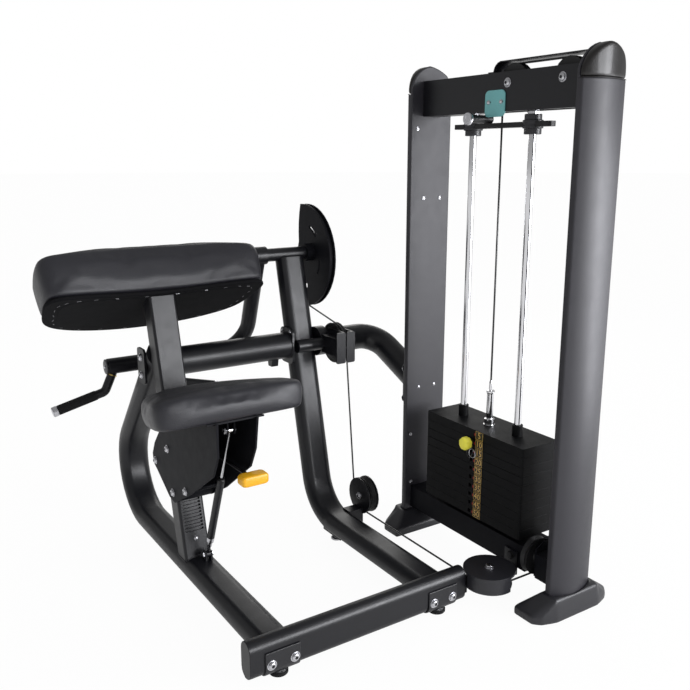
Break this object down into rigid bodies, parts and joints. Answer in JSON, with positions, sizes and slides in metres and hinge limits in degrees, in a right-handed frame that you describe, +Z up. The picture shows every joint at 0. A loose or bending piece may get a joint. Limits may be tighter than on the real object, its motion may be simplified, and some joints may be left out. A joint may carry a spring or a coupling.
{
  "type": "biceps curl machine",
  "caption": "Seated biceps curl machine: a sloped arm pad, a height-adjustable seat, a curl arm with cranked grips, and a cam whose cable lifts a pin-loaded weight stack.",
  "frame": {"origin": "on the floor, at the centre of the foot under the crossbar in the seat's plane", "axes": "+Z up, +X to the seated user's right, toward the weight tower, +Y to the user's front"},
  "size_m": [1.3169, 1.3098, 1.515],
  "materials": {
    "crossbar": "satin",
    "spine_saddle": "satin",
    "side_saddle": "satin",
    "spine_tube": "satin",
    "main_post": "satin",
    "side_tube": "satin",
    "heel_foot": "brushed",
    "cross_tube": "satin",
    "pivot_bearing": "satin",
    "guide_bracket": "satin",
    "link_tube": "satin",
    "near_post": "satin",
    "near_post_cap": "gloss",
    "near_boot": "gloss",
    "far_post": "satin",
    "far_post_cap": "gloss",
    "far_boot": "gloss",
    "top_beam": "satin",
    "top_guard": "satin",
    "cable_plate": "brushed",
    "yoke_bar": "satin",
    "guide_rod_near": "polished",
    "guide_rod_far": "polished",
    "base_tray": "satin",
    "stack_buffer": "matte",
    "corner_bracket": "satin",
    "corner_cover": "gloss",
    "steel_cable": "matte",
    "arm_pad": "matte",
    "arm_pad_board": "matte",
    "weight_plate_02": "matte",
    "weight_plate_03": "matte",
    "weight_plate_04": "matte",
    "weight_plate_05": "matte",
    "weight_plate_06": "matte",
    "weight_plate_07": "matte",
    "weight_plate_08": "matte",
    "weight_plate_09": "matte",
    "curl_arm": "satin",
    "curl_shaft": "brushed",
    "cam": "satin",
    "grip_left": "satin",
    "grip_right": "satin",
    "cam_cable": "matte",
    "weight_plate_01": "matte",
    "head_plate": "matte",
    "selector_stem": "brushed",
    "stack_cable": "matte",
    "selector_pin": "gloss",
    "seat_pad": "matte",
    "seat_carriage": "satin",
    "release_lever": "gloss",
    "gas_spring_body": "satin",
    "gas_spring_rod": "polished",
    "guide_pulley": "matte",
    "floor_pulley": "matte",
    "corner_pulley": "matte",
    "tower_pulley": "matte",
    "top_pulley_near": "matte",
    "top_pulley_far": "matte"
  },
  "bodies": {
    "frame": {"crossbar": "crossbar", "spine_saddle": "spine_saddle", "side_saddle": "side_saddle", "spine_tube": "spine_tube", "main_post": "main_post", "side_tube": "side_tube", "heel_foot": "heel_foot", "cross_tube": "cross_tube", "pivot_bearing": "pivot_bearing", "guide_bracket": "guide_bracket", "link_tube": "link_tube", "near_post": "near_post", "near_post_cap": "near_post_cap", "near_boot": "near_boot", "far_post": "far_post", "far_post_cap": "far_post_cap", "far_boot": "far_boot", "top_beam": "top_beam", "top_guard": "top_guard", "cable_plate": "cable_plate", "yoke_bar": "yoke_bar", "guide_rod_near": "guide_rod_near", "guide_rod_far": "guide_rod_far", "base_tray": "base_tray", "stack_buffer": "stack_buffer", "corner_bracket": "corner_bracket", "corner_cover": "corner_cover", "steel_cable": "steel_cable", "arm_pad": "arm_pad", "arm_pad_board": "arm_pad_board", "weight_plate_02": "weight_plate_02", "weight_plate_03": "weight_plate_03", "weight_plate_04": "weight_plate_04", "weight_plate_05": "weight_plate_05", "weight_plate_06": "weight_plate_06", "weight_plate_07": "weight_plate_07", "weight_plate_08": "weight_plate_08", "weight_plate_09": "weight_plate_09"},
    "curl": {"curl_arm": "curl_arm", "curl_shaft": "curl_shaft", "cam": "cam", "grip_left": "grip_left", "grip_right": "grip_right"},
    "cam_cable_run": {"cam_cable": "cam_cable"},
    "weights": {"weight_plate_01": "weight_plate_01", "head_plate": "head_plate", "selector_stem": "selector_stem", "stack_cable": "stack_cable"},
    "pin": {"selector_pin": "selector_pin"},
    "seat": {"seat_pad": "seat_pad", "seat_carriage": "seat_carriage"},
    "lever": {"release_lever": "release_lever"},
    "gas_body": {"gas_spring_body": "gas_spring_body"},
    "gas_rod": {"gas_spring_rod": "gas_spring_rod"},
    "guide_wheel": {"guide_pulley": "guide_pulley"},
    "floor_wheel": {"floor_pulley": "floor_pulley"},
    "corner_wheel": {"corner_pulley": "corner_pulley"},
    "tower_wheel": {"tower_pulley": "tower_pulley"},
    "top_near_wheel": {"top_pulley_near": "top_pulley_near"},
    "top_far_wheel": {"top_pulley_far": "top_pulley_far"}
  },
  "joints": [
    {"name": "curl", "type": "hinge", "parent": "frame", "child": "curl", "pos_m": [0, 0.82, 0.925], "axis": [1, 0, 0], "range_deg": [0, 120]},
    {"name": "stack_lift", "type": "slide", "parent": "frame", "child": "weights", "axis": [0, 0, 1], "range_m": [0, 0.329], "deforming": ["stack_cable"]},
    {"name": "cable_swing", "type": "hinge", "parent": "frame", "child": "cam_cable_run", "pos_m": [0.606, 0.67227, 0.69476], "axis": [1, 0, 0], "range_deg": [0, 19.58]},
    {"name": "guide_turn", "type": "hinge", "parent": "frame", "child": "guide_wheel", "pos_m": [0.606, 0.685, 0.63], "axis": [1, 0, 0], "range_deg": [-285.6, 0]},
    {"name": "floor_turn", "type": "hinge", "parent": "frame", "child": "floor_wheel", "pos_m": [0.606, 0.51, 0.138], "axis": [1, 0, 0], "range_deg": [0, 324.99]},
    {"name": "corner_turn", "type": "hinge", "parent": "frame", "child": "corner_wheel", "pos_m": [0.666, -0.038, 0.08], "axis": [0, 0, 1], "range_deg": [0, 314.16]},
    {"name": "tower_turn", "type": "hinge", "parent": "frame", "child": "tower_wheel", "pos_m": [0.79, -0.098, 0.132], "axis": [0, 1, 0], "range_deg": [0, 362.49]},
    {"name": "top_near_turn", "type": "hinge", "parent": "frame", "child": "top_near_wheel", "pos_m": [0.822, -0.094, 1.44], "axis": [1, 0, 0], "range_deg": [0, 376.99]},
    {"name": "top_far_turn", "type": "hinge", "parent": "frame", "child": "top_far_wheel", "pos_m": [0.822, 0.1, 1.44], "axis": [1, 0, 0], "range_deg": [0, 376.99]},
    {"name": "pin_pull", "type": "slide", "parent": "weights", "child": "pin", "axis": [-1, 0, 0], "range_m": [0, 0.09]},
    {"name": "seat_height", "type": "slide", "parent": "frame", "child": "seat", "axis": [0, 0.2397, 0.9708], "range_m": [-0.08, 0.06]},
    {"name": "lever_lift", "type": "hinge", "parent": "seat", "child": "lever", "pos_m": [0, 0.542, 0.428], "axis": [-1, 0, 0], "range_deg": [0, 6], "stiffness_Nm_per_rad": 6, "springref_deg": -8.59},
    {"name": "gas_swing", "type": "hinge", "parent": "frame", "child": "gas_body", "pos_m": [0.017, 0.46, 0.112], "axis": [1, 0, 0], "range_deg": [-4.77, 6.36]},
    {"name": "gas_slide", "type": "slide", "parent": "gas_body", "child": "gas_rod", "axis": [0, -0.3898, 0.9209], "range_m": [-0.0663, 0.0497]}
  ],
  "couplings": [
    {"joint": "stack_lift", "follows": "curl", "m_per_rad": 0.154},
    {"joint": "cable_swing", "follows": "curl", "ratio": 0.16},
    {"joint": "guide_turn", "follows": "curl", "ratio": -2.3333},
    {"joint": "floor_turn", "follows": "curl", "ratio": 2.6552},
    {"joint": "corner_turn", "follows": "curl", "ratio": 2.5667},
    {"joint": "tower_turn", "follows": "curl", "ratio": 2.9615},
    {"joint": "top_near_turn", "follows": "curl", "ratio": 3.08},
    {"joint": "top_far_turn", "follows": "curl", "ratio": 3.08},
    {"joint": "gas_swing", "follows": "seat_height", "rad_per_m": -1.321},
    {"joint": "gas_slide", "follows": "seat_height", "ratio": 0.7895}
  ]
}
